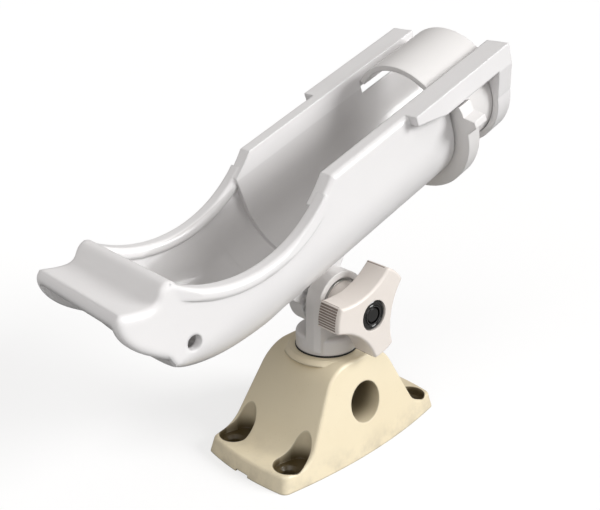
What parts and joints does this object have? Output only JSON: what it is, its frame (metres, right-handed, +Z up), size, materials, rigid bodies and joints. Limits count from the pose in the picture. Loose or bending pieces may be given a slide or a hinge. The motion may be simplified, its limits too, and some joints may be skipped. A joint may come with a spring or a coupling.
{
  "type": "rod holder",
  "caption": "Adjustable fishing-rod holder: deck base, swivelling stem, ratchet tilt joint with clamp knob, open trough cradle and a rotating collar that locks the rod in.",
  "frame": {"origin": "deck plane, centre of the four deck screw holes", "axes": "+Z up off the deck, +X along the base towards the cradle's high front end, clamp knob on the -Y side"},
  "size_m": [0.2342, 0.0846, 0.1919],
  "materials": {
    "base_plastic": "satin moulded nylon, cream",
    "body_plastic": "glossy moulded nylon, cool off-white",
    "knob_plastic": "semi-gloss moulded nylon, warm ivory",
    "black_metal": "glossy black",
    "stainless": "brushed",
    "black_rubber": "matt"
  },
  "bodies": {
    "base": {"base_mount": "base_plastic"},
    "stem": {"stem_post": "body_plastic", "neck_seal": "black_rubber", "post_o_ring": "black_rubber", "post_wave_washer": "stainless", "post_washer": "stainless", "post_screw": "stainless"},
    "cradle": {"cradle_body": "body_plastic", "pivot_bolt": "black_metal", "release_spring": "stainless"},
    "clamp": {"thrust_washer": "stainless"},
    "knob": {"clamp_knob": "knob_plastic", "knob_insert": "black_metal"},
    "collar": {"lock_collar": "body_plastic"}
  },
  "joints": [
    {"name": "swivel", "type": "hinge", "parent": "base", "child": "stem", "pos_m": [0, 0, 0], "axis": [0, 0, 1], "continuous": true},
    {"name": "tilt", "type": "hinge", "parent": "stem", "child": "cradle", "pos_m": [0, 0, 0.0733], "axis": [-0.0523, -0.9986, 0], "range_deg": [-65, 45]},
    {"name": "clamp_travel", "type": "slide", "parent": "cradle", "child": "clamp", "axis": [-0.0523, -0.9986, 0], "range_m": [0, 0.0025]},
    {"name": "knob_turn", "type": "hinge", "parent": "clamp", "child": "knob", "pos_m": [0, 0, 0.0733], "axis": [-0.0523, -0.9986, 0], "range_deg": [0, 720]},
    {"name": "collar_turn", "type": "hinge", "parent": "cradle", "child": "collar", "pos_m": [0.06824, -0.00358, 0.15825], "axis": [0.9272, -0.0486, 0.3714], "range_deg": [0, 108]}
  ],
  "couplings": [
    {"joint": "knob_turn", "follows": "clamp_travel", "rad_per_m": 5026.5}
  ]
}
